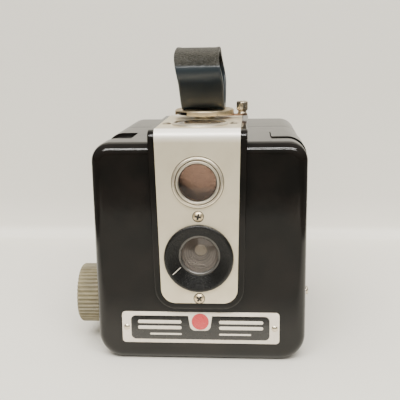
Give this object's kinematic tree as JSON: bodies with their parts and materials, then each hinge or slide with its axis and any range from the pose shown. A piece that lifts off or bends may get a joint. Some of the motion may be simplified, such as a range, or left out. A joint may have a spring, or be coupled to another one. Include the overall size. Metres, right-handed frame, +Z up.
{
  "type": "box camera",
  "caption": "Moulded roll-film box camera with reflex finder, rotary shutter, ribbed winding knob, corner buttons, top latch and a strap loop; the rear shell draws off.",
  "frame": {"origin": "centre of the flat base, halfway between the front and back faces of the body", "axes": "+Z up, the taking lens looks along -Y, +X is to the right for someone facing the lens"},
  "size_m": [0.1061, 0.1086, 0.1321],
  "materials": {
    "bakelite_black": "gloss",
    "aluminium_champagne": "satin",
    "nickel_plate": "polished",
    "copper_flash": "worn",
    "glass_clear": "polished",
    "mirror_silver": "polished",
    "steel_black": "matt",
    "steel_plain": "brushed",
    "spool_paint": "satin",
    "plastic_taupe": "satin",
    "fibre_pale": "matt",
    "vinyl_black": "gloss",
    "enamel_black": "gloss",
    "enamel_red": "gloss",
    "glass_red": "polished"
  },
  "bodies": {
    "body": {"carrier_side_left": "steel_plain", "carrier_side_right": "steel_plain", "contact_strip_lower": "copper_flash", "contact_strip_upper": "copper_flash", "faceplate": "aluminium_champagne", "faceplate_rivets": "aluminium_champagne", "faceplate_screws": "nickel_plate", "film_gate": "steel_black", "finder_bezel": "aluminium_champagne", "finder_front_lens": "glass_clear", "finder_housing": "steel_black", "finder_mirror": "mirror_silver", "finder_top_lens": "glass_clear", "finder_top_rim": "aluminium_champagne", "flash_socket": "nickel_plate", "flash_stud": "nickel_plate", "flash_washers": "fibre_pale", "front_shell": "bakelite_black", "handle_disc": "nickel_plate", "handle_rivet": "nickel_plate", "handle_strap": "vinyl_black", "latch_pivot": "nickel_plate", "lens_barrel": "steel_black", "lens_bezel": "bakelite_black", "lens_retaining_ring": "steel_black", "light_cone": "steel_black", "meniscus_lens": "glass_clear", "nameplate": "aluminium_champagne", "nameplate_dot": "enamel_red", "nameplate_enamel": "enamel_black", "nameplate_pins": "nickel_plate", "release_spring": "steel_plain", "shaft_bush": "copper_flash", "shutter_pivot": "copper_flash", "shutter_plate": "steel_plain", "shutter_screws": "steel_plain", "shutter_spring": "steel_plain", "spool_pins": "steel_plain", "spool_spring": "steel_plain"},
    "winder": {"winding_knob": "plastic_taupe", "knob_collar": "fibre_pale", "knob_shaft": "steel_plain", "winding_key": "copper_flash", "takeup_spool": "spool_paint"},
    "supply": {"supply_spool": "spool_paint"},
    "upper_roller": {"roller_upper": "steel_plain"},
    "lower_roller": {"roller_lower": "steel_plain"},
    "release": {"release_button": "bakelite_black", "release_link": "steel_plain"},
    "time_lever": {"time_button": "bakelite_black", "time_link": "steel_plain"},
    "shutter": {"shutter_disc": "steel_plain", "shutter_drive_pin": "steel_plain"},
    "rear": {"rear_shell": "bakelite_black", "red_window": "glass_red", "red_window_retainer": "steel_black", "catch_plate": "steel_plain", "catch_rivets": "steel_plain"},
    "latch": {"latch_arm": "copper_flash", "latch_knob": "nickel_plate"}
  },
  "joints": [
    {"name": "winding", "type": "hinge", "parent": "body", "child": "winder", "pos_m": [-0.05, -0.025, 0.0209], "axis": [-1, 0, 0], "continuous": true},
    {"name": "supply_spin", "type": "hinge", "parent": "body", "child": "supply", "pos_m": [0, -0.006, 0.0792], "axis": [-1, 0, 0], "continuous": true},
    {"name": "upper_roller_spin", "type": "hinge", "parent": "body", "child": "upper_roller", "pos_m": [0, 0.0348, 0.0805], "axis": [-1, 0, 0], "continuous": true},
    {"name": "lower_roller_spin", "type": "hinge", "parent": "body", "child": "lower_roller", "pos_m": [0, 0.0348, 0.0131], "axis": [-1, 0, 0], "continuous": true},
    {"name": "release_press", "type": "slide", "parent": "body", "child": "release", "axis": [0, 0, -1], "range_m": [0, 0.004], "stiffness_N_per_m": 400, "springref_m": -0.001, "deforming": ["release_spring"]},
    {"name": "shutter_turn", "type": "hinge", "parent": "body", "child": "shutter", "pos_m": [0.0105, -0.041, 0.038], "axis": [0, -1, 0], "range_deg": [0, 25]},
    {"name": "time_lift", "type": "slide", "parent": "body", "child": "time_lever", "axis": [0, 0, 1], "range_m": [0, 0.003]},
    {"name": "latch_turn", "type": "hinge", "parent": "body", "child": "latch", "pos_m": [0, -0.007, 0.1013], "axis": [0, 0, 1], "range_deg": [0, 60]},
    {"name": "rear_draw", "type": "slide", "parent": "body", "child": "rear", "axis": [0, 1, 0], "range_m": [0, 0.06]}
  ],
  "couplings": [
    {"joint": "shutter_turn", "follows": "release_press", "rad_per_m": 109.08}
  ]
}
